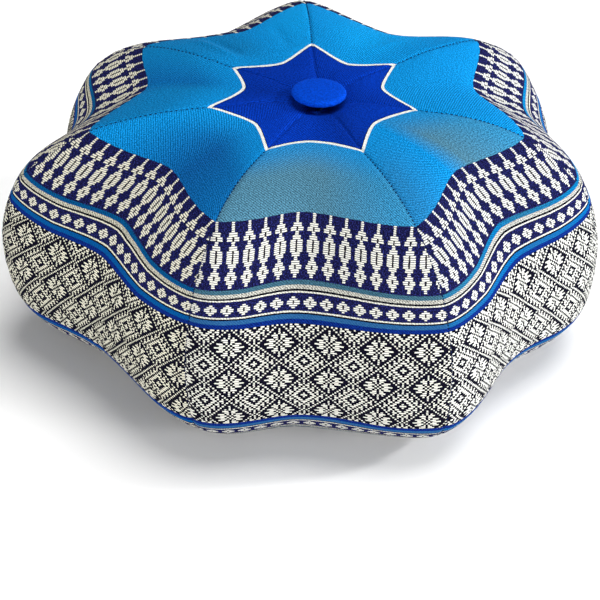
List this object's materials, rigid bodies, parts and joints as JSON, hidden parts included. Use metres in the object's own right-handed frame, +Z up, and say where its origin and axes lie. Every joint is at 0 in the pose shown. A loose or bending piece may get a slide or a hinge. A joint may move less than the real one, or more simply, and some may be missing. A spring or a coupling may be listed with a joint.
{
  "type": "zafu floor cushion",
  "caption": "Lotus-shaped meditation cushion sewn from wedge panels of striped, figured cotton, with a covered button at the top centre.",
  "frame": {"origin": "where the cushion's own axis meets the floor it lies on", "axes": "+Z up out of the crown and the button, +Y towards one of the seams"},
  "size_m": [0.4296, 0.4189, 0.1902],
  "materials": {
    "woven_cotton": "matt woven cotton",
    "button_cotton": "matt woven cotton"
  },
  "bodies": {
    "root": {"cushion": "woven_cotton", "button": "button_cotton"}
  },
  "joints": []
}
